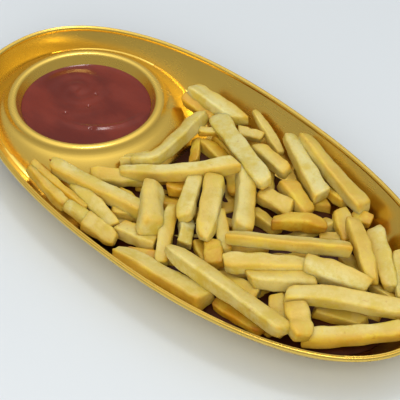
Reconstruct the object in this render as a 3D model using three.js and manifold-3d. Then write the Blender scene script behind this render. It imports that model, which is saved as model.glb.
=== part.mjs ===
// French fries heaped in an oval pressed-metal dish, with tomato sauce in the dish's own well.
//
// Frame: millimetres, +Z up. The origin is under the middle of the dish, on the surface it stands on.
// X runs along the dish, and the well for the sauce is at its -X end.

import * as THREE from "three";
import { mergeVertices } from "three/addons/utils/BufferGeometryUtils.js";
import Module from "manifold-3d";

const wasm = await Module();
wasm.setup();

// ---------------------------------------------------------------- driving dimensions

// The dish is pressed from one sheet. Its outline and its flat floor are rounded ovals, fuller than an
// ellipse (power above 2), and the outline is a little wider towards the well (egg).
const SHEET = 1.0;
const DISH_HEIGHT = 22;
const OUTLINE = { halfLength: 135, halfWidth: 65.3, centreX: 0, power: 2.24, egg: 0.043 };
const FLOOR = { halfLength: 114, halfWidth: 41.5, centreX: -9.5, power: 2.3, egg: 0 };
const LIP_RADIUS = 1.3;
const WALL_CURVE = 1.6; // 1 is a straight slope, more is a wall that steepens towards the lip

// The well is a round cup whose bead stands up inside the dish, with a skirt that slopes down outside it.
const WELL_X = -81.4;
const BEAD_RADIUS = 35.3;
const BEAD_HEIGHT = 18.8;
const BEAD_ROUND = 3;
const CUP_FLOOR_RADIUS = 27;
const CUP_CORNER = 2.5;
const CUP_LEAN = 15; // degrees by which the cup's wall leans out
const BEAD_TO_SKIRT = 53; // degrees above level at which the bead's round runs into the skirt
const SKIRT_BREAK = { radius: 47.5, height: 10.4 };
const SKIRT_TOE = { radius: 54, height: 3.5 };
const SKIRT_FOOT_RADIUS = 58;

// The sauce nearly fills the well, and its top is gently uneven.
const SAUCE_LEVEL = 13.2;
const SAUCE_WAVE = { height: 0.6, alongX: 37, alongY: 30 };
const SAUCE_RINGS = 4;

// The heap: a low hidden core, and the fries that show laid over it.
const CORE = { halfLength: 86, halfWidth: 45, height: 7.5, centreX: 28, centreY: -4, centreZ: 3 };
const CORE_FLATNESS = 4; // 2 would be a plain dome, more is flatter on top
const CORE_FACES = { around: 28, up: 12 };
const FRY_DEPTH = 0.93; // a fry's thickness over its width
const FRY_END = 0.84; // a fry's ends over its middle
const FRY_END_ROUND = 0.08; // share of its length over which an end narrows
const FRY_ROUND = 0.82; // how far the corners of its section are rounded in
const FRY_STEPS = { straight: 3, bent: 5 }; // lengths that its sides are made of

// More fries are tucked in below: drawn at random, and kept where they fit.
const TUCKED = {
  most: 9,
  tries: 3000,
  length: [24, 48],
  width: [6.5, 8.5],
  height: [8, 12],
  tilt: 2.5, // an end is this much above or below the middle at most
  overlap: 0.35, // share of its width by which a fry may sink into another
  tests: 5, // places along it, besides its start, at which that is measured
};
const SEED = 20260;

const GAP = 0.35; // clearance between the food and the metal
const MERGE = 1e-4; // corners nearer than this are one
const DEEP = 8; // how far the solids used as cutters reach below the dish
const HIGH = 60; // and how far above it
const PAST_LIP = 1.15; // and how far up the wall, where 1 is the lip

// ---------------------------------------------------------------- where the fries lie
// Each fry is the middle line it lies along, as points [x, y, z], and then its width. Three points bend it.

const UNDERNEATH = [
  [[-24, 38, 9], [14, 42, 9], 8],
  [[-31, 4, 10], [-29, 28, 9], 7.5],
  [[-22, -14, 12], [-17, 16, 11], 7],
  [[-40, 34, 10], [-20, 44, 10], 7],
  [[8, 26, 12], [30, 38, 10], 8],
];

const AGAINST_THE_NEAR_WALL = [
  [[-65, -48, 14], [-35, -51, 12], 5.5],
  [[-65, -46, 15], [-27, -46, 13], 4],
  [[-43, -40, 13], [-10, -44, 12], 7.5],
  [[-37, -50, 12], [-18, -50, 12], 6.5],
  [[-22, -51, 12], [-3, -49, 12], 7],
  [[-10, -42, 10], [10, -35, 10], 8.5],
  [[-20, -37, 9], [-4, -27, 9], 6],
  [[3, -55, 14], [26, -49, 11], [51, -44, 11], 9.5],
  [[52, -40, 8], [79, -38, 10], 6],
  [[42, -31, 12], [64, -26, 12], 6.5],
  [[70, -21, 12], [87, -33, 13], 7.5],
  [[95, -30, 13], [108, -14, 13], [123, 4, 16], 8],
];

const BESIDE_THE_WELL = [
  [[-53, 37, 16], [-34, 41, 11], 6],
  [[-38, -15, 16], [-32, -2, 14], 6],
  [[-45, -32, 14], [-23, -11, 12], 6.5],
  [[-29, 27, 9], [-6, 24, 9], 7],
  [[-28, 34, 9], [-2, 30, 10], 6.5],
  [[-30, 24, 11], [-20, 13, 10], 5],
  [[-32, 27, 14], [-22, 37, 14], 4],
  [[-19, 41, 14], [-9, 47, 13], 5.5],
  [[-24, 55, 16], [4, 46, 12], 4.5],
];

const IN_THE_MIDDLE = [
  [[-15, -8, 9], [-5, -1, 9], 6.5],
  [[0, 15, 6], [15, 3, 6], 8.5],
  [[-1, -17, 14], [22, -44, 12], 7],
  [[-8, 25, 13], [10, 11, 12], 6.5],
  [[15, 48, 10], [41, 36, 7], 8],
  [[18, 18, 14], [36, 22, 13], 8],
  [[22, 32, 14], [42, 26, 12], 8.5],
  [[29, 45, 11], [48, 45, 12], 5.5],
  [[-5, 1, 18], [11, -21, 17], 7.5],
  [[16, -5, 15], [37, -19, 14], 6.5],
  [[27, -18, 13], [39, -28, 13], 8.5],
  [[37, 8, 15], [45, 18, 15], [54, 26, 13], 7.5],
  [[-4, 38, 16], [18, 37, 15], 7.5],
];

const TOWARDS_THE_FAR_END = [
  [[54, 22, 9], [65, 30, 9], 6],
  [[70, 21, 9], [92, 16, 9], 6],
  [[85, -13, 10], [105, -2, 10], 6.5],
  [[91, 17, 10], [104, 17, 10], 5],
  [[57, -25, 16], [77, -4, 16], 8.5],
  [[55, 42, 12], [65, 43, 13], 6.5],
  [[50, 38, 13], [67, 28, 12], 8],
  [[70, 40, 14], [100, 19, 13], 8],
  [[87, 38, 13], [108, 18, 13], 6.5],
  [[103, 28, 12], [118, 9, 13], 7.5],
];

const ON_TOP = [
  [[1, 54, 17], [40, 37, 15], 8.5],
  [[7, 58, 18], [59, 45, 16], 8.5],
  [[-53, 42, 18], [-23, 46, 15], 8],
  [[-32, -11, 20], [-26, -1, 19], [-39, 37, 14], 7.5],
  [[-57, -41, 18], [-8, -28, 16], 8.5],
  [[-13, -18, 20], [6, -36, 17], 10.5],
  [[1, 7, 19], [27, -24, 18], 9.5],
  [[-33, -21, 16], [-12, -2, 20], [4, 17, 24], 7],
  [[4, 25, 17], [34, -7, 17], 9.5],
  [[-34, 41, 15], [-15, 33, 19], [22, 19, 22], 9.5],
  [[44, -28, 19], [71, -1, 18], 8.5],
  [[34, -17, 20], [75, 19, 19], 6.5],
  [[63, 32, 19], [95, 12, 18], 8],
  [[69, -4, 21], [96, 9, 18], 9.5],
  [[76, -22, 19], [90, -9, 20], [116, 10, 18], 8.5],
  [[83, -22, 18], [98, -33, 17], 10.5],
  [[21, -40, 20], [91, -36, 18], 9.5],
];

// ---------------------------------------------------------------- solids from geometry

// A closed geometry as a solid that can be joined and cut.
function solid(geometry) {
  geometry.deleteAttribute("normal");
  geometry.deleteAttribute("uv");
  const merged = mergeVertices(geometry, MERGE);
  const index = merged.index.array;
  const triangles = [];
  for (let i = 0; i < index.length; i += 3) {
    const [a, b, c] = [index[i], index[i + 1], index[i + 2]];
    if (a !== b && b !== c && c !== a) {
      triangles.push(a, b, c);
    }
  }
  return new wasm.Manifold(new wasm.Mesh({
    numProp: 3,
    vertProperties: new Float32Array(merged.attributes.position.array),
    triVerts: new Uint32Array(triangles),
  }));
}

// A solid as a named mesh in its own material.
function meshOf(name, body, look) {
  const { vertProperties, triVerts } = body.getMesh();
  const geometry = new THREE.BufferGeometry();
  geometry.setAttribute("position", new THREE.BufferAttribute(vertProperties, 3));
  geometry.setIndex(new THREE.BufferAttribute(triVerts, 1));
  geometry.computeVertexNormals();
  const mesh = new THREE.Mesh(geometry, new THREE.MeshStandardMaterial(look));
  mesh.name = name;
  return mesh;
}

// Moves every vertex of a geometry to place(vertex).
function reshape(geometry, place) {
  const position = geometry.attributes.position;
  const vertex = new THREE.Vector3();
  for (let i = 0; i < position.count; i += 1) {
    vertex.fromBufferAttribute(position, i);
    position.setXYZ(i, ...place(vertex));
  }
  return geometry;
}

// A profile of [radius, height] points, turned about the Z axis.
function turned(profile, segments) {
  const points = profile.map(([radius, height]) => new THREE.Vector2(radius, height));
  return new THREE.LatheGeometry(points, segments).rotateX(Math.PI / 2);
}

// The points of an arc round [radius, height], between two angles in degrees.
function arc([radius, height], round, fromAngle, toAngle, steps) {
  return Array.from({ length: steps + 1 }, (_, i) => {
    const angle = THREE.MathUtils.degToRad(fromAngle + ((toAngle - fromAngle) * i) / steps);
    return [radius + round * Math.cos(angle), height + round * Math.sin(angle)];
  });
}

// A profile moved sideways by a distance, to the right of its direction of travel.
function beside(profile, distance) {
  return profile.map(([radius, height], i) => {
    const before = profile[Math.max(i - 1, 0)];
    const after = profile[Math.min(i + 1, profile.length - 1)];
    const run = after[0] - before[0];
    const rise = after[1] - before[1];
    const length = Math.hypot(run, rise);
    const shifted = radius + (distance * rise) / length;
    return [radius === 0 ? 0 : shifted, height - (distance * run) / length];
  });
}

// ---------------------------------------------------------------- the dish's bowl

const BOWL_SEGMENTS = 48;
const WALL_STEPS = 5;
const LIP_SIDES = 6;

// The point of a rounded oval at an angle, drawn in from its outline by inset.
function ovalPoint(oval, angle, inset = 0) {
  const cosine = Math.cos(angle);
  const sine = Math.sin(angle);
  const along = Math.sign(cosine) * Math.abs(cosine) ** (2 / oval.power);
  const across = Math.sign(sine) * Math.abs(sine) ** (2 / oval.power) * (1 - oval.egg * along);
  return new THREE.Vector2(
    oval.centreX + (oval.halfLength - inset) * along,
    (oval.halfWidth - inset) * across,
  );
}

const WALL_TOP = DISH_HEIGHT - LIP_RADIUS;

function wallHeight(up) {
  return SHEET + (WALL_TOP - SHEET) * Math.max(up, 0) ** WALL_CURVE;
}

// A turned profile becomes oval: its radius counts 0 to 1 from the middle to the floor's edge, and 1 to 2
// from there up the wall to the lip. Points on the bowl's surface move off it by depth, into the sheet.
function bowlShape(profile, depth) {
  return reshape(turned(profile, BOWL_SEGMENTS), ({ x, y, z }) => {
    const angle = Math.atan2(y, x);
    const radius = Math.hypot(x, y);
    const floorEdge = ovalPoint(FLOOR, angle);
    if (radius <= 1 + 1e-6) {
      const centre = new THREE.Vector2(FLOOR.centreX, 0);
      const inside = centre.lerp(floorEdge, Math.min(radius, 1));
      return [inside.x, inside.y, z > 0 ? z - depth : z];
    }
    const up = radius - 1;
    const outward = ovalPoint(OUTLINE, angle, LIP_RADIUS).sub(floorEdge);
    const slope = (WALL_TOP - SHEET) * WALL_CURVE * up ** (WALL_CURVE - 1) / outward.length();
    const across = outward.clone().multiplyScalar(up).add(floorEdge);
    const onSurface = z > 0;
    const lean = Math.atan(slope);
    if (onSurface) {
      across.addScaledVector(outward.normalize(), depth * Math.sin(lean));
    }
    return [across.x, across.y, onSurface ? z - depth * Math.cos(lean) : z];
  });
}

// The bowl filled solid below its surface, which lies depth inside the sheet, out to reach times the wall.
function bowlFill(depth, reach) {
  const profile = [[0, -DEEP], [1 + reach, -DEEP]];
  for (let step = WALL_STEPS; step >= 0; step -= 1) {
    const up = (reach * step) / WALL_STEPS;
    profile.push([1 + up, wallHeight(up)]);
  }
  profile.push([0, SHEET]);
  return solid(bowlShape(profile, depth));
}

// Everything inside the lip, from below the dish to above it.
function insideLip() {
  return solid(bowlShape([[0, -DEEP / 2], [2, -DEEP / 2], [2, HIGH], [0, HIGH]], 0));
}

// The sheet's rolled edge, a ring that follows the outline.
function lip() {
  const far = 1000; // stands for the outline's radius while the ring is still round
  const section = arc([far, 0], LIP_RADIUS, -180, 180, LIP_SIDES);
  section[section.length - 1] = section[0];
  return solid(reshape(turned(section, BOWL_SEGMENTS), ({ x, y, z }) => {
    const angle = Math.atan2(y, x);
    const outwards = Math.hypot(x, y) - far;
    const point = ovalPoint(OUTLINE, angle, LIP_RADIUS - outwards);
    return [point.x, point.y, WALL_TOP + z];
  }));
}

// ---------------------------------------------------------------- the well

const WELL_SEGMENTS = 36;

// The cup's inside, from the middle of its floor up to the bead's crest.
function cupProfile() {
  const cornerCentre = [CUP_FLOOR_RADIUS, SHEET + CUP_CORNER];
  const beadCentre = [BEAD_RADIUS, BEAD_HEIGHT - BEAD_ROUND];
  return [
    [0, SHEET],
    ...arc(cornerCentre, CUP_CORNER, -90, -CUP_LEAN, 2),
    ...arc(beadCentre, BEAD_ROUND, 180 - CUP_LEAN, 90, 3),
  ];
}

// The collar's outside, from the bead's crest down the skirt to the dish's floor.
function skirtProfile() {
  const beadCentre = [BEAD_RADIUS, BEAD_HEIGHT - BEAD_ROUND];
  return [
    ...arc(beadCentre, BEAD_ROUND, 90, BEAD_TO_SKIRT, 2),
    [SKIRT_BREAK.radius, SKIRT_BREAK.height],
    [SKIRT_TOE.radius, SKIRT_TOE.height],
    [SKIRT_FOOT_RADIUS, SHEET],
  ];
}

function wellSolid(profile) {
  return solid(turned(profile, WELL_SEGMENTS).translate(WELL_X, 0, 0));
}

// The collar filled solid below its skirt, whose surface lies depth inside the sheet.
function collarFill(depth) {
  const skirt = beside(skirtProfile(), depth).reverse();
  const [footRadius] = skirt[0];
  const crestHeight = skirt[skirt.length - 1][1];
  return wellSolid([[0, -DEEP], [footRadius, -DEEP], ...skirt, [0, crestHeight]]);
}

// The open space in the cup, whose surface lies depth inside the sheet.
function cupHollow(depth) {
  const cup = beside(cupProfile(), depth);
  const [crestRadius] = cup[cup.length - 1];
  return wellSolid([...cup, [crestRadius, HIGH], [0, HIGH]]);
}

// ---------------------------------------------------------------- dish, sauce and fries

function dish() {
  const upper = bowlFill(0, 1).add(collarFill(0)).subtract(cupHollow(0));
  const under = bowlFill(SHEET, PAST_LIP).add(collarFill(SHEET)).subtract(cupHollow(SHEET));
  return upper.intersect(insideLip()).subtract(under).add(lip());
}

// The sauce fills the cup up to its level. Its top is made of rings that rise and fall a little.
function sauce() {
  const cup = beside(cupProfile(), -GAP);
  const below = cup.filter(([, height]) => height < SAUCE_LEVEL);
  const last = below[below.length - 1];
  const next = cup[below.length];
  const share = (SAUCE_LEVEL - last[1]) / (next[1] - last[1]);
  const edge = last[0] + (next[0] - last[0]) * share;
  const top = Array.from({ length: SAUCE_RINGS + 1 }, (_, ring) => [
    edge * (1 - ring / SAUCE_RINGS),
    SAUCE_LEVEL,
  ]);
  const shape = reshape(turned([...below, ...top], WELL_SEGMENTS), ({ x, y, z }) => {
    const inwards = 1 - Math.hypot(x, y) / edge;
    const swellX = Math.sin((2 * Math.PI * x) / SAUCE_WAVE.alongX);
    const swellY = Math.cos((2 * Math.PI * y) / SAUCE_WAVE.alongY);
    const onTop = z > SAUCE_LEVEL - 1e-3;
    return [x + WELL_X, y, onTop ? z + SAUCE_WAVE.height * swellX * swellY * inwards : z];
  });
  return solid(shape);
}

// One fry: a rounded bar along its middle line, narrower at both ends.
function fry(points, width) {
  const bent = points.length > 2;
  const line = bent
    ? new THREE.CatmullRomCurve3(points, false, "centripetal")
    : new THREE.LineCurve3(...points);
  const steps = bent ? FRY_STEPS.bent : FRY_STEPS.straight;
  const bar = new THREE.BoxGeometry(1, 1, 1, steps, 2, 2);
  const isEdge = (across) => Math.abs(across) > 0.25;
  return solid(reshape(bar, ({ x, y, z }) => {
    const ring = Math.round((x + 0.5) * steps);
    const inner = FRY_END_ROUND + ((1 - 2 * FRY_END_ROUND) * (ring - 1)) / (steps - 2);
    const along = THREE.MathUtils.clamp(inner, 0, 1);
    const forward = line.getTangent(along);
    const sideways = new THREE.Vector3(-forward.y, forward.x, 0).normalize();
    const upwards = forward.clone().cross(sideways);
    const corner = isEdge(y) && isEdge(z) ? FRY_ROUND : 1;
    const taper = ring === 0 || ring === steps ? FRY_END : 1;
    const point = line.getPoint(along);
    point.addScaledVector(sideways, y * width * corner * taper);
    point.addScaledVector(upwards, z * width * FRY_DEPTH * corner * taper);
    return point.toArray();
  }));
}

// ---------------------------------------------------------------- the heap

let drawn = SEED;

// The next number of a fixed random series, between low and high.
function draw(low, high) {
  const modulus = 2147483647;
  drawn = (drawn * 16807) % modulus;
  return low + ((high - low) * drawn) / modulus;
}

// Whether a point is inside the heap, clear of the dish's wall and of the well's skirt, by room.
function hasRoom(point, room) {
  const up = Math.max((point.z - room - SHEET) / (WALL_TOP - SHEET), 0) ** (1 / WALL_CURVE);
  const halfLength = THREE.MathUtils.lerp(FLOOR.halfLength, OUTLINE.halfLength, up) - room;
  const halfWidth = THREE.MathUtils.lerp(FLOOR.halfWidth, OUTLINE.halfWidth, up) - room;
  const inBowl = Math.hypot((point.x - FLOOR.centreX) / halfLength, point.y / halfWidth) < 1;
  const inHeap = Math.hypot(
    (point.x - CORE.centreX) / CORE.halfLength,
    (point.y - CORE.centreY) / CORE.halfWidth,
  ) < 1;
  const fromWell = Math.hypot(point.x - WELL_X, point.y);
  return inBowl && inHeap && fromWell > SKIRT_TOE.radius + room;
}

// Whether a fry would lie clear of another, apart from the little that they may sink into each other.
function clears(points, width, other) {
  const nearest = new THREE.Vector3();
  const least = (1 - TUCKED.overlap) * (width + other.width) / 2;
  for (let i = 1; i < other.points.length; i += 1) {
    const stretch = new THREE.Line3(other.points[i - 1], other.points[i]);
    for (let test = 0; test <= TUCKED.tests; test += 1) {
      const point = points[0].clone().lerp(points[1], test / TUCKED.tests);
      stretch.closestPointToPoint(point, true, nearest);
      if (nearest.distanceTo(point) < least) {
        return false;
      }
    }
  }
  return true;
}

// The fries tucked in under and between those already laid.
function tuckedFries(laid) {
  const tucked = [];
  for (let i = 0; i < TUCKED.tries && tucked.length < TUCKED.most; i += 1) {
    const middle = new THREE.Vector3(
      CORE.centreX + draw(-1, 1) * CORE.halfLength,
      CORE.centreY + draw(-1, 1) * CORE.halfWidth,
      draw(...TUCKED.height),
    );
    const heading = draw(0, Math.PI);
    const half = draw(...TUCKED.length) / 2;
    const rise = draw(-TUCKED.tilt, TUCKED.tilt);
    const width = draw(...TUCKED.width);
    const reach = new THREE.Vector3(half * Math.cos(heading), half * Math.sin(heading), rise);
    const points = [middle.clone().sub(reach), middle.clone().add(reach)];
    const roomy = points.every((point) => hasRoom(point, width / 2));
    if (roomy && [...laid, ...tucked].every((other) => clears(points, width, other))) {
      tucked.push({ points, width });
    }
  }
  return tucked;
}

// The heap is one piece: the core and the fries joined, set clear of the metal that they lie on.
// Joining can seal a hollow or leave a scrap, so only the heap's outermost skin is kept.
function heap() {
  const dome = new THREE.SphereGeometry(1, CORE_FACES.around, CORE_FACES.up).rotateX(Math.PI / 2);
  const core = reshape(dome, ({ x, y, z }) => {
    const radius = Math.min(Math.hypot(x, y), 1);
    const rise = Math.sign(z) * (1 - radius ** CORE_FLATNESS) ** (1 / CORE_FLATNESS);
    return [
      CORE.centreX + CORE.halfLength * x,
      CORE.centreY + CORE.halfWidth * y,
      CORE.centreZ + CORE.height * rise,
    ];
  });
  const laid = [
    UNDERNEATH,
    AGAINST_THE_NEAR_WALL,
    BESIDE_THE_WELL,
    IN_THE_MIDDLE,
    TOWARDS_THE_FAR_END,
    ON_TOP,
  ].flat().map((entry) => ({
    points: entry.slice(0, -1).map((point) => new THREE.Vector3(...point)),
    width: entry[entry.length - 1],
  }));
  let body = solid(core);
  for (const { points, width } of [...laid, ...tuckedFries(laid)]) {
    body = body.add(fry(points, width));
  }
  body = body.subtract(bowlFill(-GAP, PAST_LIP).add(collarFill(-GAP)));
  const [largest] = body.decompose().sort((a, b) => b.volume() - a.volume());
  return largest;
}

// ---------------------------------------------------------------- the portion

const portion = new THREE.Group();
portion.add(
  meshOf("dish", dish(), { color: 0xb48a35, roughness: 0.28, metalness: 1 }),
  meshOf("sauce", sauce(), { color: 0x7a3328, roughness: 0.25, metalness: 0 }),
  meshOf("fries", heap(), { color: 0xe2cf86, roughness: 0.6, metalness: 0 }),
);

export default portion;
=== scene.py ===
# %% [markdown]
# # French fries in a gold-coloured metal dish
#
# A portion as it is served: thick-cut fries heaped in a long oval dish that is pressed from one thin sheet
# of gold-coloured metal, with tomato sauce in a round well at one end of the same sheet.
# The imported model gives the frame: the dish, the sauce and the heap as plain solids at their real size.
# Here each of the three is replaced by the finely made thing, in the same place and at the same size.
# Lengths are written in millimetres and turned to metres where a mesh takes its shape.

import math
import random

import bmesh
import bpy
import numpy as np
from mathutils import Matrix, Vector, noise


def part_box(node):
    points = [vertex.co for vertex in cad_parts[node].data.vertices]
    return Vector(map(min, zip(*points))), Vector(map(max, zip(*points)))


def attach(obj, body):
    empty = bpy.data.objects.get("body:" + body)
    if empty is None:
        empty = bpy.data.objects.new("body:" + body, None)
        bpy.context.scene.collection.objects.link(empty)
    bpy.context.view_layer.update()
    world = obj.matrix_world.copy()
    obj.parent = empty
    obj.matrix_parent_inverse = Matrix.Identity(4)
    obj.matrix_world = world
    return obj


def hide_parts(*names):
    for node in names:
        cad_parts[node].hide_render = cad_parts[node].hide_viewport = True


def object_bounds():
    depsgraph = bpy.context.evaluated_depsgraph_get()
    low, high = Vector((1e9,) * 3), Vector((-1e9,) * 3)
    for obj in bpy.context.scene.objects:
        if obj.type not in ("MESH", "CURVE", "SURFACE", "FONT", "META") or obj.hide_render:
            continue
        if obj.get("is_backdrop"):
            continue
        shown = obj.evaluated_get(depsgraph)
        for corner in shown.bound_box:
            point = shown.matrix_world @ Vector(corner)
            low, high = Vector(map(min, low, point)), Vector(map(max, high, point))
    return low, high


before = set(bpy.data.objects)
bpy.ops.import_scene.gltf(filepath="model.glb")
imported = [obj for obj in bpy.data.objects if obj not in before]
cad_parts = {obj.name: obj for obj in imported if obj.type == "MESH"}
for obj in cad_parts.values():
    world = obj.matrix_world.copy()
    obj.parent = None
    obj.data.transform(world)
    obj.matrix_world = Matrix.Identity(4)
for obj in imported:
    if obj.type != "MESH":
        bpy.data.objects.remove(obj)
cad_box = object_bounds()
MM = 0.001
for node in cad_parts:
    low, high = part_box(node)
    print(node, "mm", [round(v / MM, 1) for v in low], [round(v / MM, 1) for v in high])

# %% [markdown]
# ## Tools for shaping
#
# Each piece starts as a primitive that is extruded ring by ring, so its corners lie in a plain pattern.
# `press` then forms it, as a press forms a blank: one rule gives each corner its place on the real surface.

# %% Shaping helpers
def added(name):
    """The object that the last operator added, under a name of its own."""
    piece = bpy.context.object
    piece.name = name
    piece.data.name = name
    return piece


def corners(piece):
    """The corners of a mesh, as rows of x, y and z."""
    points = np.empty(len(piece.data.vertices) * 3)
    piece.data.vertices.foreach_get("co", points)
    return points.reshape(-1, 3)


def triangles(piece):
    """How many triangles a mesh comes to."""
    return sum(len(polygon.vertices) - 2 for polygon in piece.data.polygons)


def press(piece, points):
    """Puts the corners of a mesh at new places, given in millimetres."""
    piece.data.vertices.foreach_set("co", (points * MM).ravel())
    piece.data.update()


def disc(name, around, rings):
    """A flat disc of rings a unit apart, round a centre: a blank for anything that is turned or pressed."""
    bpy.ops.object.select_all(action="DESELECT")
    bpy.ops.mesh.primitive_circle_add(vertices=around, radius=1, fill_type="TRIFAN")
    piece = added(name)
    bpy.ops.object.mode_set(mode="EDIT")
    bpy.ops.mesh.select_all(action="SELECT")
    bpy.ops.mesh.region_to_loop()
    for ring in range(2, rings + 1):
        bpy.ops.mesh.extrude_region_move()
        bpy.ops.transform.resize(value=(ring / (ring - 1), ring / (ring - 1), 1))
    bpy.ops.object.mode_set(mode="OBJECT")
    return piece


def ring_and_angle(points):
    """The ring number and the angle of each corner of a disc."""
    return np.rint(np.hypot(points[:, 0], points[:, 1])).astype(int), np.arctan2(points[:, 1], points[:, 0])


def arc(centre, radius, start, end, steps):
    """Points of an arc round a centre, between two angles in degrees."""
    angles = np.radians(np.linspace(start, end, steps + 1))
    return np.stack([centre[0] + radius * np.cos(angles), centre[1] + radius * np.sin(angles)], axis=1)


def take(pieces):
    """Selects some pieces and nothing else, with the first as the active one."""
    bpy.ops.object.select_all(action="DESELECT")
    for piece in pieces:
        piece.select_set(True)
    bpy.context.view_layer.objects.active = pieces[0]


def joined(pieces, name):
    """Several meshes made one, under a name of its own."""
    take(pieces)
    bpy.ops.object.join()
    return added(name)


def finish_smooth(piece, degrees):
    """Shades a piece smooth, apart from edges sharper than an angle."""
    take([piece])
    bpy.ops.object.shade_smooth_by_angle(angle=math.radians(degrees))


# %% [markdown]
# ## Tools for finishes
#
# A finish is worked out by nodes. `Wire` wraps one output, so sums and products read as plain arithmetic,
# and `Finish` holds one material and adds its nodes.

# %% Finish helpers
class Wire:
    """A number, colour or vector on its way between nodes."""

    def __init__(self, finish, socket):
        self.finish = finish
        self.socket = socket

    def _with(self, operation, first, second):
        return self.finish.node("ShaderNodeMath", {"operation": operation}, {0: first, 1: second})

    def __add__(self, other):
        return self._with("ADD", self, other)

    def __sub__(self, other):
        return self._with("SUBTRACT", self, other)

    def __mul__(self, other):
        return self._with("MULTIPLY", self, other)


class Finish:
    """One material, with its shader's fixed values set on the shader itself."""

    def __init__(self, name, **fixed):
        self.material = bpy.data.materials.new(name)
        self.material.use_nodes = True
        self.tree = self.material.node_tree
        self.shader = next(n for n in self.tree.nodes if n.type == "BSDF_PRINCIPLED")
        for socket, value in fixed.items():
            self.shader.inputs[socket.replace("_", " ")].default_value = value

    def node(self, kind, settings, inputs, output=0):
        """Adds a node: its settings first, then its inputs, each a value or a wire."""
        made = self.tree.nodes.new(kind)
        for key, value in settings.items():
            setattr(made, key, value)
        for key, value in inputs.items():
            if isinstance(value, Wire):
                self.tree.links.new(value.socket, made.inputs[key])
            else:
                made.inputs[key].default_value = value
        return Wire(self, made.outputs[output])

    def place(self):
        """Object coordinates."""
        return self.node("ShaderNodeTexCoord", {}, {}, "Object")

    def attribute(self, name):
        return self.node("ShaderNodeAttribute", {"attribute_name": name}, {}, "Vector")

    def parts(self, vector):
        """The three numbers of a vector."""
        split = self.node("ShaderNodeSeparateXYZ", {}, {0: vector})
        return [Wire(self, socket) for socket in split.socket.node.outputs]

    def stretched(self, vector, scale):
        return self.node("ShaderNodeVectorMath", {"operation": "MULTIPLY"}, {0: vector, 1: scale})

    def noise(self, vector, scale, detail=3.0, roughness=0.5):
        """Soft cloudy noise from 0 to 1, with scale blotches to the metre."""
        return self.node(
            "ShaderNodeTexNoise",
            {},
            {"Vector": vector, "Scale": scale, "Detail": detail, "Roughness": roughness},
        )

    def between(self, value, low, high, to_low=0.0, to_high=1.0):
        """Where a value lies between two others, as an even slope held at both ends."""
        return self.node(
            "ShaderNodeMapRange",
            {"interpolation_type": "SMOOTHSTEP"},
            {0: value, 1: low, 2: high, 3: to_low, 4: to_high},
        )

    def mix(self, share, first, second):
        """Two colours, mixed by a share from 0 to 1."""
        return self.node(
            "ShaderNodeMix",
            {"data_type": "RGBA"},
            {0: share, 6: first, 7: second},
            2,
        )

    def bump(self, height, strength, distance):
        """A relief, with its depth in metres."""
        return self.node(
            "ShaderNodeBump", {}, {"Height": height, "Strength": strength, "Distance": distance}
        )

    def gives(self, **wires):
        """Joins wires to the shader's inputs."""
        for socket, wire in wires.items():
            self.tree.links.new(wire.socket, self.shader.inputs[socket.replace("_", " ")])
        return self.material

    def on(self, piece):
        piece.data.materials.clear()
        piece.data.materials.append(self.material)
        return piece


def rgb(red, green, blue):
    """A colour as it looks on a screen, from 0 to 255, turned to light."""
    def light(value):
        value = value / 255
        return value / 12.92 if value <= 0.04045 else ((value + 0.055) / 1.055) ** 2.4
    return (light(red), light(green), light(blue), 1.0)


# %% [markdown]
# ## The dish
#
# The real dish is stamped: a flat oval floor, a wall that steepens towards a rolled lip, and in one end a
# round cup whose bead stands above the floor. Outside the bead a skirt starts out as a narrow shelf, slopes
# down more and more steeply, and runs into the wall. All of it is one millimetre thick.
# It could be joined from separate solids by Booleans, but polished metal shows every uneven facet.
# So the sheet is one disc of spokes and rings about the well's middle: the inner rings become the cup and
# the bead, the next run down the skirt to the crease, and the outer ones run up the wall to the lip.

# %% Sizes of the dish
SHEET = 1.0
DISH_HEIGHT = 22.0
LIP_RADIUS = 1.3
WALL_TOP = DISH_HEIGHT - LIP_RADIUS
WALL_CURVE = 1.6
OUTLINE = {"half_length": 135.0, "half_width": 65.15, "centre": 0.0, "power": 2.24, "egg": 0.043}
FLOOR = {"half_length": 114.0, "half_width": 41.5, "centre": -9.5, "power": 2.3, "egg": 0.0}
WALL_EDGE = {**OUTLINE, **{side: OUTLINE[side] - LIP_RADIUS for side in ("half_length", "half_width")}}

WELL_X = -81.4
BEAD_HEIGHT = 18.8
BEAD_CROWN = (34.5, 35.2)  # the bead's nearly flat top, from and to these radii
BEAD_ROUNDS = (1.9, 2.9)  # its rounds on the cup's side and on the skirt's
BEAD_CAMBER = 0.12  # how far the middle of the crown stands over its edges
CUP_FLOOR_RADIUS = 22.5
CUP_CORNER = 2.5
CUP_LEAN = 30.0
BEAD_TO_SKIRT = 32.0
SKIRT_SHELF = [(38.4, 16.4), (41.5, 15.0)]
SKIRT_BREAK = (47.5, 10.4)
SKIRT_TOE = (54.0, 3.5)
SKIRT_FOOT_RADIUS = 58.0

AROUND = 288
CUP_FLOOR_RINGS = 4
SKIRT_RINGS = 14
WALL_RINGS = 18
WALL_SAMPLES = 240
CREASE_RIDGE = 0.75
RIDGE_HALF = 1.0  # from the crease's ridge to its foot, on either side
FLOOR_SHARE = 0.3  # share of the outer rings that goes to the flat floor, the rest to the wall
HALVINGS = 30  # of each search for a place on the surface, which leaves far less than a micrometre
BEYOND_LIP = 1.3  # how far up the search for a height reaches, where 1 is the top of the wall


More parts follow.
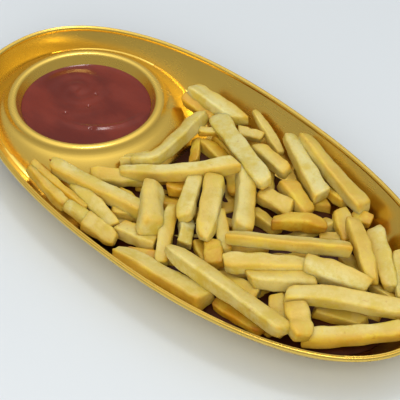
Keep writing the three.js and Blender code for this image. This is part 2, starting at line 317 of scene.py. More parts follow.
# %% The dish's surface, as rules
def oval_height(x, y):
    """Height of the bowl's surface over a point, from how far up the wall the point lies."""
    low = np.zeros_like(x)
    high = np.full_like(x, BEYOND_LIP)
    for _ in range(HALVINGS):
        up = (low + high) / 2
        size = {key: FLOOR[key] + (WALL_EDGE[key] - FLOOR[key]) * up for key in FLOOR}
        along = (x - size["centre"]) / size["half_length"]
        across = y / (size["half_width"] * (1 - size["egg"] * along))
        outside = np.abs(along) ** size["power"] + np.abs(across) ** size["power"] > 1
        low = np.where(outside, up, low)
        high = np.where(outside, high, up)
    return SHEET + (WALL_TOP - SHEET) * low**WALL_CURVE


def softened(profile, times):
    """A profile with its corners cut off again and again, until it runs smoothly."""
    for _ in range(times):
        first = profile[:-1] * 0.75 + profile[1:] * 0.25
        second = profile[:-1] * 0.25 + profile[1:] * 0.75
        between = np.stack([first, second], axis=1).reshape(-1, 2)
        profile = np.concatenate([profile[:1], between[1:-1], profile[-1:]])
    return profile


inner_bead, outer_bead = ((r, BEAD_HEIGHT - round_off) for r, round_off in zip(BEAD_CROWN, BEAD_ROUNDS))
flat = np.linspace(0, CUP_FLOOR_RADIUS * 0.9, CUP_FLOOR_RINGS)
CUP = np.concatenate([
    np.stack([flat, np.full(CUP_FLOOR_RINGS, SHEET)], axis=1),
    arc((CUP_FLOOR_RADIUS, SHEET + CUP_CORNER), CUP_CORNER, -90, -CUP_LEAN, 6),
    arc(inner_bead, BEAD_ROUNDS[0], 180 - CUP_LEAN, 90, 7),
    [(sum(BEAD_CROWN) / 2, BEAD_HEIGHT + BEAD_CAMBER)],
    arc(outer_bead, BEAD_ROUNDS[1], 90, BEAD_TO_SKIRT, 6),
])
SKIRT = softened(
    np.array([CUP[-1], *SKIRT_SHELF, SKIRT_BREAK, SKIRT_TOE, (SKIRT_FOOT_RADIUS, SHEET)]), times=3
)


def skirt_height(radius):
    return np.interp(radius, SKIRT[:, 0], SKIRT[:, 1])


def dish_height(x, y):
    """Height of the metal under a point outside the cup."""
    return np.maximum(oval_height(x, y), skirt_height(np.hypot(x - WELL_X, y)))


def spoke_lengths(angles):
    """How far each spoke from the well's middle runs to the crease, and to the lip."""
    def reach(is_inside, nearest, farthest):
        low = np.full_like(angles, nearest)
        high = np.full_like(angles, farthest)
        for _ in range(HALVINGS):
            middle = (low + high) / 2
            inside = is_inside(WELL_X + middle * np.cos(angles), middle * np.sin(angles), middle)
            low = np.where(inside, middle, low)
            high = np.where(inside, high, middle)
        return low

    crease = reach(
        lambda x, y, r: skirt_height(r) - oval_height(x, y) > 1e-4, CUP[-1][0], SKIRT_FOOT_RADIUS
    )
    lip = reach(lambda x, y, r: oval_height(x, y) < WALL_TOP, SKIRT_BREAK[0], 2 * OUTLINE["half_length"])
    return crease, lip


def wall_radii(crease, lip, angles):
    """Where the outer rings cross each spoke: close together on the wall, wide apart on the floor."""
    share = np.linspace(0, 1, WALL_SAMPLES)[:, None]
    radii = crease + (lip - crease) * share
    heights = oval_height(WELL_X + radii * np.cos(angles), radii * np.sin(angles))
    climb = ((heights - SHEET) / (WALL_TOP - SHEET)) ** (1 / WALL_CURVE)
    measure = FLOOR_SHARE * share + (1 - FLOOR_SHARE) * (climb - climb[0])
    measure = measure / measure[-1]
    wanted = np.linspace(0, 1, WALL_RINGS + 1)
    return np.stack([np.interp(wanted, measure[:, i], radii[:, i]) for i in range(len(angles))], axis=1)


# %% Press the sheet
sheet = disc("dish", AROUND, len(CUP) - 1 + SKIRT_RINGS + WALL_RINGS)
rings, angles = ring_and_angle(corners(sheet))
spokes = np.rint(angles / (2 * math.pi) * AROUND).astype(int) % AROUND
spoke_angles = np.arange(AROUND) * 2 * math.pi / AROUND
crease, lip_reach = spoke_lengths(spoke_angles)
wall = wall_radii(crease, lip_reach, spoke_angles)
CREASE_RING = len(CUP) - 1 + SKIRT_RINGS

radius = np.zeros(len(rings))
height = np.zeros(len(rings))
in_cup = rings < len(CUP)
on_skirt = ~in_cup & (rings <= CREASE_RING)
on_wall = rings > CREASE_RING
radius[in_cup] = CUP[rings[in_cup], 0]
height[in_cup] = CUP[rings[in_cup], 1]
down = (rings[on_skirt] - len(CUP) + 1) / SKIRT_RINGS
radius[on_skirt] = CUP[-1][0] + (crease[spokes[on_skirt]] - CUP[-1][0]) * down
height[on_skirt] = skirt_height(radius[on_skirt])
radius[on_wall] = wall[rings[on_wall] - CREASE_RING, spokes[on_wall]]
inwards = np.minimum(RIDGE_HALF, (crease - CUP[-1][0]) / SKIRT_RINGS)
outwards = np.minimum(RIDGE_HALF, (wall[2] - crease) / 2)
inner_foot, outer_foot = rings == CREASE_RING - 1, rings == CREASE_RING + 1
radius[inner_foot] = (crease - inwards)[spokes[inner_foot]]
radius[outer_foot] = (crease + outwards)[spokes[outer_foot]]
height[inner_foot] = skirt_height(radius[inner_foot])
x = WELL_X + radius * np.cos(angles)
y = radius * np.sin(angles)
height[on_wall] = oval_height(x[on_wall], y[on_wall])
on_crease = (rings == CREASE_RING) & (height > 2 * SHEET)
height[on_crease] += CREASE_RIDGE
press(sheet, np.stack([x, y, height], axis=1))
print("sheet:", len(sheet.data.vertices), "corners")
print("crease, mm from the well's middle:", crease.min().round(1), "to", crease.max().round(1))

# %% [markdown]
# Where the skirt runs into the wall, the press leaves a small hollow round, not a knife edge, and that
# round is what catches the light. A bevel on the ring of edges along the crease makes it.
# The sheet then gets its thickness, downwards, so that the surface that shows stays where it was pressed.

# %% Round the crease and give the sheet its thickness
CREASE_ROUND = 0.4

bpy.ops.object.mode_set(mode="EDIT")
bpy.ops.mesh.select_all(action="DESELECT")
bm = bmesh.from_edit_mesh(sheet.data)
bm.verts.ensure_lookup_table()
for edge in bm.edges:
    both = [rings[v.index] for v in edge.verts]
    above_floor = max(v.co.z for v in edge.verts) > 2 * SHEET * MM
    edge.select = both == [CREASE_RING, CREASE_RING] and above_floor
bmesh.update_edit_mesh(sheet.data)
bpy.ops.mesh.bevel(offset=CREASE_ROUND * MM, segments=3, affect="EDGES")
bpy.ops.object.mode_set(mode="OBJECT")
thickness = sheet.modifiers.new("thickness", "SOLIDIFY")
thickness.thickness = SHEET * MM
thickness.offset = -1
thickness.use_even_offset = True
bpy.ops.object.modifier_apply(modifier=thickness.name)
points = corners(sheet) / MM
points[:, 2] = np.maximum(points[:, 2], 0)  # the underside stands flat on the table
press(sheet, points)

# %% [markdown]
# The lip is the sheet's edge rolled over into a round hem. A torus is the right start, because the hem has
# the same round section all the way; pressing its middle circle to the outline keeps that section true.

# %% Roll the lip
LIP_AROUND = 320
LIP_SIDES = 28
LIP_BLANK = 10  # radius of the ring that is pressed to the outline
LIP_GROOVE = {"at": 84, "width": 15, "depth": 0.42}  # a crease along the hem's top, in degrees round it
bpy.ops.object.select_all(action="DESELECT")
bpy.ops.mesh.primitive_torus_add(
    major_radius=LIP_BLANK, minor_radius=LIP_RADIUS, major_segments=LIP_AROUND, minor_segments=LIP_SIDES
)
lip = added("lip")
points = corners(lip)
angles = np.arctan2(points[:, 1], points[:, 0])
outwards = np.hypot(points[:, 0], points[:, 1]) - LIP_BLANK
turned = np.degrees(np.arctan2(points[:, 2], outwards))
groove = 1 - LIP_GROOVE["depth"] * np.exp(-(((turned - LIP_GROOVE["at"]) / LIP_GROOVE["width"]) ** 2))
outwards = outwards * groove
upwards = points[:, 2] * groove
cosine, sine = np.cos(angles), np.sin(angles)
along = np.sign(cosine) * np.abs(cosine) ** (2 / OUTLINE["power"])
across = np.sign(sine) * np.abs(sine) ** (2 / OUTLINE["power"]) * (1 - OUTLINE["egg"] * along)
lip_x = (WALL_EDGE["half_length"] + outwards) * along
lip_y = (WALL_EDGE["half_width"] + outwards) * across
press(lip, np.stack([lip_x, lip_y, WALL_TOP + upwards], axis=1))
dish = joined([sheet, lip], "dish")
finish_smooth(dish, 50)
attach(dish, "root")
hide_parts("dish")
print("dish:", len(dish.data.polygons), "faces")

# %% [markdown]
# Pressed metal of this kind is plated, then rubbed to a satin. So it is a true metal with a warm yellow
# tint, it is rougher in some places than in others, and fine rubbing lines run across it.
# The lines could be a wood or wave pattern, but noise squeezed hard along one axis looks less regular.

# %% Gold-coloured metal
gold = Finish("gold_metal", Metallic=1.0, Roughness=0.3)
place = gold.place()
clouds = gold.noise(place, 22, 4)
rubbed = gold.noise(gold.stretched(place, (60, 1500, 1500)), 1.0, 2)
smudges = gold.noise(place, 70, 3, 0.5)
tint = gold.mix(clouds, (0.84, 0.58, 0.125, 1), (0.89, 0.655, 0.18, 1))
sheen = gold.between(clouds * 0.7 + smudges * 0.3, 0.3, 0.7, 0.17, 0.27) + rubbed * 0.06
relief = gold.bump(rubbed * 0.4 + clouds, 0.2, 0.00003)
gold.gives(Base_Color=tint, Roughness=sheen, Normal=relief)
gold.on(dish)

# %% [markdown]
# ## The sauce
#
# Tomato sauce is thick: it is poured, it levels out slowly, and it keeps a soft ridge where the last of it
# ran in and the swirl of the spoon. At the metal it climbs a little, as any wetting liquid does.
# It is a disc of fine rings, so that low waves stay smooth under its gloss, with its side carried down the
# cup's wall and closed on the cup's floor.

# %% Sizes of the sauce
SAUCE_LEVEL = 13.6
SAUCE_WAVE = {"height": 0.3, "along_x": 37.0, "along_y": 30.0, "from_edge": 10.0}
SAUCE_GAP = 0.06
MENISCUS = {"height": 0.5, "width": 1.1}
RIDGE = {"centre": (-86.0, 12.0), "radius": 27.5, "height": 0.8, "width": 1.5, "from": -72, "to": 6}
SWIRL = {"centre": (-93.0, 5.0), "height": 0.28, "pitch": 9.0, "reach": 15.0}
DIMPLES = [(-80.6, 0.8), (-83.8, -10.8), (-84.8, 9.0), (-66.6, -8.8)]
DIMPLE = {"depth": 0.6, "radius": 0.9}
SAUCE_TOP_RINGS = 64
SAUCE_AROUND = 160


# %% Pour the sauce
def sauce_relief(x, y, inwards):
    """The top's height above its level."""
    swell = np.sin(2 * math.pi * (x - WELL_X) / SAUCE_WAVE["along_x"])
    swell = swell * np.cos(2 * math.pi * y / SAUCE_WAVE["along_y"])
    rise = SAUCE_WAVE["height"] * swell * np.clip(inwards / SAUCE_WAVE["from_edge"], 0, 1)
    away_x, away_y = x - RIDGE["centre"][0], y - RIDGE["centre"][1]
    from_crest = (np.hypot(away_x, away_y) - RIDGE["radius"]) / RIDGE["width"]
    bearing = np.degrees(np.arctan2(away_y, away_x))
    middle = (RIDGE["from"] + RIDGE["to"]) / 2
    spread = (RIDGE["to"] - RIDGE["from"]) / 2
    rise = rise + RIDGE["height"] * np.exp(-from_crest**2) * np.exp(-((bearing - middle) / spread) ** 4)
    away_x, away_y = x - SWIRL["centre"][0], y - SWIRL["centre"][1]
    out = np.hypot(away_x, away_y)
    turn = np.arctan2(away_y, away_x)
    fade = np.exp(-((out / SWIRL["reach"]) ** 2))
    rise = rise + SWIRL["height"] * np.cos(2 * math.pi * out / SWIRL["pitch"] - turn) * fade
    for dimple_x, dimple_y in DIMPLES:
        away = np.hypot(x - dimple_x, y - dimple_y)
        rise = rise - DIMPLE["depth"] * np.exp(-((away / DIMPLE["radius"]) ** 2))
    climb = MENISCUS["height"] * np.exp(-inwards / MENISCUS["width"])
    return rise + climb


above = int(np.argmax(CUP[:, 1] > SAUCE_LEVEL))
wall_low, wall_high = CUP[above - 1], CUP[above]
below = CUP[CUP_FLOOR_RINGS - 1 : above]
share = (SAUCE_LEVEL + MENISCUS["height"] - wall_low[1]) / (wall_high[1] - wall_low[1])
sauce_edge = wall_low[0] + (wall_high[0] - wall_low[0]) * share - SAUCE_GAP
sauce = disc("sauce", SAUCE_AROUND, SAUCE_TOP_RINGS + len(below))
rings, angles = ring_and_angle(corners(sauce))
on_top = rings <= SAUCE_TOP_RINGS
side = np.clip(rings - SAUCE_TOP_RINGS - 1, 0, len(below) - 1)
radius = np.where(on_top, sauce_edge * rings / SAUCE_TOP_RINGS, below[::-1][side, 0] - SAUCE_GAP)
x = WELL_X + radius * np.cos(angles)
y = radius * np.sin(angles)
top = SAUCE_LEVEL + sauce_relief(x, y, sauce_edge - radius)
height = np.where(on_top, top, below[::-1][side, 1] + SAUCE_GAP)
press(sauce, np.stack([x, y, height], axis=1))
bpy.ops.object.mode_set(mode="EDIT")
bpy.ops.mesh.select_all(action="SELECT")
bpy.ops.mesh.region_to_loop()
bpy.ops.mesh.fill()
bpy.ops.mesh.select_all(action="SELECT")
bpy.ops.mesh.normals_make_consistent(inside=False)
bpy.ops.object.mode_set(mode="OBJECT")
finish_smooth(sauce, 60)
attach(sauce, "root")
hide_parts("sauce")
print("sauce: edge", round(sauce_edge, 2), "top", round(float(top[on_top].max()), 2))

# %% [markdown]
# The sauce is opaque and brownish red, a little paler where it is stirred thin, with darker grains of pulp.
# It is wet, so it is glossy, and a little duller over the pulp.

# %% Tomato sauce
tomato = Finish("tomato_sauce", Roughness=0.2, Specular_IOR_Level=0.5)
place = tomato.place()
stirred = tomato.noise(tomato.stretched(place, (1.0, 1.6, 1.0)), 45, 3)
pulp = tomato.noise(place, 900, 3, 0.6)
body = tomato.mix(tomato.between(stirred, 0.35, 0.7), rgb(106, 32, 15), rgb(126, 45, 25))
tomato.gives(
    Base_Color=tomato.mix(pulp * 0.2, body, rgb(84, 16, 6)),
    Roughness=tomato.between(pulp, 0.3, 0.7, 0.11, 0.2),
    Normal=tomato.bump(pulp + stirred * 2.0, 0.25, 0.0001),
)
tomato.on(sauce)

# %% [markdown]
# ## The fries
#
# Each fry was cut square, about 8 mm thick, and fried: its corners are softened, its ends are cut square,
# slanting or to a point, and it has bent, twisted and shrunk a little in its own way.
# One fry is modelled as a blank, with enough rings to bend. Every fry of the heap is a copy of it, with a
# mesh of its own, that is bent along the line where that fry lies.

# %% Model the blank
BLANK = {"length": 60.0, "width": 8.0, "depth": 7.44}
BLANK_CUTS = 21
BLANK_CORNER = 1.5
BLANK_END_ROUND = 0.9


def select_edges(piece, wanted):
    """Selects the edges whose two ends satisfy a rule, given in millimetres."""
    bpy.ops.mesh.select_all(action="DESELECT")
    bm = bmesh.from_edit_mesh(piece.data)
    for edge in bm.edges:
        first, second = (v.co / MM for v in edge.verts)
        edge.select = wanted(first, second)
    bmesh.update_edit_mesh(piece.data)


def runs_along(first, second):
    """Whether an edge runs along the fry and not round its end."""
    return abs(first.x - second.x) > BLANK["length"] / 2


bpy.ops.object.select_all(action="DESELECT")
bpy.ops.mesh.primitive_cube_add(size=1)
blank = added("fry_blank")
bpy.ops.object.mode_set(mode="EDIT")
bpy.ops.mesh.select_all(action="SELECT")
bpy.ops.transform.resize(value=(BLANK["length"] * MM, BLANK["width"] * MM, BLANK["depth"] * MM))
select_edges(blank, runs_along)
bpy.ops.mesh.bevel(offset=BLANK_CORNER * MM, segments=4, affect="EDGES")
select_edges(blank, lambda a, b: not runs_along(a, b))
bpy.ops.mesh.bevel(offset=BLANK_END_ROUND * MM, segments=3, affect="EDGES")
select_edges(blank, runs_along)
bpy.ops.mesh.subdivide(number_cuts=BLANK_CUTS)
for normal in ((0, 1, 0), (0, 0, 1)):
    bpy.ops.mesh.select_all(action="SELECT")
    bpy.ops.mesh.bisect(plane_co=(0, 0, 0), plane_no=normal)
bpy.ops.object.mode_set(mode="OBJECT")
BLANK_CORNERS = corners(blank) / MM
print("blank:", len(blank.data.vertices), "corners,", triangles(blank), "triangles")

# %% [markdown]
# ### Where each fry lies
#
# The heap is tipped into the dish, so no rule gives its order. Each fry has the line that it lies along,
# listed:
# two points for a straight fry and three for a bent one, then its width, how dark it is fried (0 is
# pale and 1 is deep gold), and how its two ends are cut.
# An end is `s` square, `c` cut slanting, `p` drawn to a point or `r` rounded off.

# %% The fries that show
AGAINST_THE_NEAR_WALL = [
    ([(-65, -48, 14), (-35, -51, 12)], 5.5, 0.35, "rs"),
    ([(-65, -46, 15), (-27, -46, 13)], 4, 0.8, "ss"),
    ([(-43, -40, 13), (-10, -44, 12)], 7.5, 0.3, "rs"),
    ([(-37, -50, 12), (-18, -50, 12)], 6.5, 0.05, "sr"),
    ([(-22, -51, 12), (-3, -49, 12)], 8.5, 0.45, "sr"),
    ([(-10, -42, 11), (9, -36, 10.5)], 8.5, 0.35, "rs"),
    ([(-20, -37, 11.5), (-6, -28, 11)], 6, 0.6, "ss"),
    ([(3, -55, 14), (26, -49, 11), (51, -44, 11)], 9.5, 0.3, "ps"),
    ([(52, -40, 8), (79, -38, 10)], 6, 1.0, "ss"),
    ([(42, -31, 12), (64, -26, 12)], 6.5, 0.3, "ss"),
    ([(70, -21, 12), (87, -33, 13)], 7.5, 0.3, "ss"),
    ([(95, -30, 13), (108, -14, 13), (123, 4, 16)], 8, 0.3, "sr"),
]

BESIDE_THE_WELL = [
    ([(-53, 37, 16), (-34, 41, 11)], 6, 0.75, "rs"),
    ([(-38, -15, 16), (-32, -2, 14)], 6, 0.35, "cs"),
    ([(-42, -30, 14), (-24, -13, 12.5)], 7.5, 0.3, "rs"),
    ([(-29, 27, 9), (-6, 24, 9)], 7, 0.75, "ss"),
    ([(-28, 34, 9), (-2, 30, 10)], 6.5, 0.7, "ss"),
    ([(-30, 24, 11), (-20, 13, 10)], 5, 0.6, "ss"),
    ([(-32, 27, 14), (-22, 37, 14)], 4, 0.4, "ss"),
    ([(-27, 36, 9), (-11, 32, 8)], 5.5, 0.7, "ss"),
    ([(-19, 41, 14), (-9, 47, 13)], 5.5, 0.4, "ss"),
    ([(-24, 55, 16), (4, 46, 12)], 4.5, 0.45, "pr"),
]

IN_THE_MIDDLE = [
    ([(-14, -9, 12), (-6, -3, 12)], 7, 0.9, "ss"),
    ([(0, 15, 6), (15, 3, 6)], 8.5, 0.8, "ss"),
    ([(20, -21, 9), (33, -26, 9)], 6, 0.9, "ss"),
    ([(7, -16, 12), (19, -28, 11)], 6.5, 0.0, "ss"),
    ([(22, 10, 10), (39, 10, 10)], 7, 0.6, "ss"),
    ([(-1, -17, 14), (22, -44, 12)], 7, 0.3, "rr"),
    ([(-8, 25, 13), (10, 11, 12)], 6.5, 0.85, "ss"),
    ([(15, 48, 10), (41, 36, 7)], 8, 0.8, "ss"),
    ([(18, 18, 14), (36, 22, 13)], 8, 0.55, "ss"),
    ([(22, 32, 14), (42, 26, 12)], 8.5, 0.45, "ss"),
    ([(29, 45, 11), (48, 45, 12)], 5.5, 0.5, "ss"),
    ([(-5, 1, 18), (11, -21, 17)], 7.5, 0.25, "rr"),
    ([(16, -5, 15), (37, -19, 14)], 6.5, 0.4, "ss"),
    ([(27, -18, 13), (39, -28, 13)], 8.5, 0.95, "ss"),
    ([(37, 8, 15), (45, 18, 15), (54, 26, 13)], 7.5, 0.95, "rp"),
    ([(-4, 38, 16), (18, 37, 15)], 7.5, 0.3, "sr"),
]

TOWARDS_THE_FAR_END = [
    ([(54, 22, 9), (65, 30, 9)], 6, 0.6, "ss"),
    ([(63, -25, 6), (63, -14, 6)], 7, 0.8, "ss"),
    ([(70, 21, 9), (92, 16, 9)], 6, 0.6, "ss"),
    ([(85, -13, 10), (105, -2, 10)], 6.5, 0.5, "ss"),
    ([(91, 17, 10), (104, 17, 10)], 5, 0.5, "ss"),
    ([(57, -25, 16), (77, -4, 16)], 8.5, 0.3, "ss"),
    ([(55, 42, 12), (65, 43, 13)], 6.5, 0.75, "ss"),
    ([(50, 38, 13), (67, 28, 12)], 8, 0.5, "ss"),
    ([(70, 40, 14), (100, 19, 13)], 8, 0.15, "rs"),
    ([(87, 38, 13), (108, 18, 13)], 6.5, 0.35, "ss"),
    ([(103, 28, 12), (118, 9, 13)], 7.5, 0.35, "ss"),
]

ON_TOP = [
    ([(1, 54, 17), (40, 37, 15)], 8.5, 0.1, "rs"),
    ([(7, 58, 18), (59, 45, 16)], 8.5, 0.25, "rs"),
    ([(-53, 42, 18), (-23, 46, 15)], 8, 0.1, "rc"),
    ([(-34, -11.5, 17), (-27, -2, 19.5), (-39, 36.5, 14.5)], 8, 0.25, "sr"),
    ([(-57, -41, 17), (-7, -29, 15)], 8.5, 0.2, "rs"),
    ([(-13, -18, 20), (6, -36, 17)], 10.5, 0.1, "sr"),
    ([(1, 7, 19), (27, -24, 18)], 9.5, 0.15, "sp"),
    ([(-33, -21, 16), (-12, -2, 20), (4, 17, 23.4)], 7, 0.15, "rc"),
    ([(4, 25, 17), (34, -7, 17)], 9.5, 0.25, "ss"),
    ([(-34, 41, 12.5), (-15, 33, 17.5), (22, 19, 21.5)], 8.5, 0.15, "rr"),
    ([(44, -28, 19), (71, -1, 18)], 8.5, 0.15, "rs"),
    ([(34, -17, 20), (75, 19, 19)], 7.5, 0.3, "rs"),
    ([(63, 32, 19), (95, 12, 18)], 8.5, 0.65, "rp"),
    ([(69, -4, 21), (96, 9, 18)], 9.5, 0.1, "rr"),
    ([(76, -22, 19), (90, -9, 20), (116, 10, 18)], 8.5, 0.35, "rr"),
    ([(83, -22, 18), (98, -33, 17)], 10.5, 0.3, "rr"),
    ([(21, -40, 20), (91, -36, 18)], 9.5, 0.1, "pr"),
]

LAID = [AGAINST_THE_NEAR_WALL, BESIDE_THE_WELL, IN_THE_MIDDLE, TOWARDS_THE_FAR_END, ON_TOP]
LAID = [
    (np.array(points, float), width, tone, ends)
    for group in LAID
    for points, width, tone, ends in group
]
print("laid by hand:", len(LAID))

# %% [markdown]
# ### The fries below
#
# Under those that show lie others, seen only through the gaps. A rule tucks them in: it draws a place, a
# direction and a size at random, and keeps the fry where it fits in the dish and clear of the others.
# The draws are seeded, so the heap is the same each time.

# %% Tuck in the fries below
CORE = {
    "half_length": 86.0,
    "half_width": 45.0,
    "height": 6.0,
    "centre": (28.0, -4.0, 2.6),
    "flatness": 4,
    "ribs": (0.05, 0.16),  # to the millimetre, along and across
}
TUCKED = {
    "most": 46,
    "tries": 9000,
    "length": (22, 46),
    "width": (6.5, 8.5),
    "height": (5.0, 9.0),
    "tilt": 2.5,
    "overlap": 0.3,  # how far two may press into each other, as a share of their width
    "over_metal": 0.4,  # how far the middle stays off the metal, as a share of the width
    "within": 1.04,  # how far out on the core an end may lie
    "tone": (0.3, 0.9),
}
LAID_STATIONS, TUCKED_STATIONS, OWN_STATIONS = 24, 12, 9  # places along a fry where distances are taken
SEED = 20260
draw = random.Random(SEED)


def nearest_way(points, others):
    """The smallest distance between the places along one fry and those along others."""
    return np.sqrt(((points[:, None, :] - others[None, :, :]) ** 2).sum(axis=2)).min()


def stations(points, count):
    """Places evenly spread along a line of points."""
    share = np.linspace(0, len(points) - 1, count)
    return np.stack([np.interp(share, range(len(points)), points[:, axis]) for axis in range(3)], axis=1)


laid_places = [(stations(points, LAID_STATIONS), width) for points, width, tone, ends in LAID]
tucked = []
for _ in range(TUCKED["tries"]):
    if len(tucked) == TUCKED["most"]:
        break
    middle = np.array([
        CORE["centre"][0] + draw.uniform(-1, 1) * CORE["half_length"],
        CORE["centre"][1] + draw.uniform(-1, 1) * CORE["half_width"],
        draw.uniform(*TUCKED["height"]),
    ])
    heading = draw.uniform(0, math.pi)
    half = draw.uniform(*TUCKED["length"]) / 2
    width = draw.uniform(*TUCKED["width"])
    reach = np.array([
        half * math.cos(heading), half * math.sin(heading), draw.uniform(-TUCKED["tilt"], TUCKED["tilt"])
    ])
    points = np.array([middle - reach, middle + reach])
    places = stations(points, OWN_STATIONS)
    floor = dish_height(places[:, 0], places[:, 1])
    from_core = (places[:, 0] - CORE["centre"][0]) / CORE["half_length"]
    across = (places[:, 1] - CORE["centre"][1]) / CORE["half_width"]
    inside = (np.hypot(from_core, across) < TUCKED["within"]).all()
    clear_of_metal = (places[:, 2] - width * TUCKED["over_metal"] > floor).all()
    others = laid_places + [(stations(p, TUCKED_STATIONS), w) for p, w, tone, ends in tucked]
    if inside and clear_of_metal and all(
        nearest_way(places, other) > (1 - TUCKED["overlap"]) * (width + other_width) / 2
        for other, other_width in others
    ):
        tucked.append((points, width, draw.uniform(*TUCKED["tone"]), "ss"))
print("tucked in:", len(tucked))

# %% [markdown]
# ### Bend each fry along its line
#
# A fry keeps its ends at true size, so only the stretch between them is drawn out to its length.
# Then it gets its own unevenness: a bow, a twist, a taper, faces that are a little hollow or full, slanting
# end cuts and soft lumps. Where it would sink into the metal, it lies on it instead.
# The lumps come from vector noise, which starts from the clock in each run unless it is given a seed.

# %% Shape the fries
END_KEPT = 5.0
SHORT_END = 0.3  # of the length, where that is less
SHORT_TIP = 0.45
CLEARANCE = 0.15
SLANT = {"s": 0.3, "r": 0.25, "p": 0.3, "c": 0.95}
NARROWED = {"s": (0.88, 3.0), "r": (0.62, 5.0), "p": (0.25, 14.0), "c": (0.85, 4.0)}
HOLLOW = (-0.11, 0.03)  # how far its faces are full, or hollow where the number is below 0
WEDGE = 0.13  # how much wider one face is than the one across from it
PARED = {"from": 1.0, "most": 0.55, "up_to": (0.2, 1.5)}  # a long corner cut away where the potato ended
THICKNESS = (0.8, 1.0)  # over the width
TAPER = 0.13
SWELL = {"waves": (1.3, 2.9), "height": (0.01, 0.055)}  # slow changes of width along it
END_LEAN = {"sideways": (0.6, 1.2), "upwards": 1.2}  # how far a slanting cut leans
TWIST = 17  # degrees, at either end
ROLL = 18  # degrees, of the whole fry
BOW = {"sideways": (-0.7, 0.7), "upwards": (-0.4, 0.5), "full_at": 40, "most": 1.2}  # mm at a length in mm
UNEVEN = [(0.14, 0.4), (0.3, 0.2)]  # soft lumps and smaller dents: how many to the millimetre, how high
LUMPS_SEED = 2
noise.seed_set(LUMPS_SEED)


def middle_line(points, count=49):
    """A smooth line through the points, as even places and directions along it."""
    if len(points) == 2:
        fine = np.linspace(points[0], points[1], count)
    else:
        before, after = 2 * points[0] - points[1], 2 * points[-1] - points[-2]
        knots = np.concatenate([[before], points, [after]])
        pieces = []
        for i in range(1, len(knots) - 2):
            a, b, c, d = knots[i - 1 : i + 3]
            t = np.linspace(0, 1, count)[:, None]
            square, cube = 2 * a - 5 * b + 4 * c - d, 3 * b - a - 3 * c + d
            pieces.append(0.5 * (2 * b + (c - a) * t + square * t**2 + cube * t**3))
        fine = np.concatenate([pieces[0], *[piece[1:] for piece in pieces[1:]]])
    steps = np.linalg.norm(np.diff(fine, axis=0), axis=1)
    way = np.concatenate([[0], np.cumsum(steps)])
    wanted = np.linspace(0, way[-1], count)
    line = np.stack([np.interp(wanted, way, fine[:, axis]) for axis in range(3)], axis=1)
    forward = np.gradient(line, axis=0)
    return line, forward / np.linalg.norm(forward, axis=1)[:, None], way[-1]


def along_line(values, share):
    """Looks a row of values up at shares from 0 to 1 along a line."""
    places = np.linspace(0, 1, len(values))
    return np.stack([np.interp(share, places, values[:, axis]) for axis in range(values.shape[1])], axis=1)


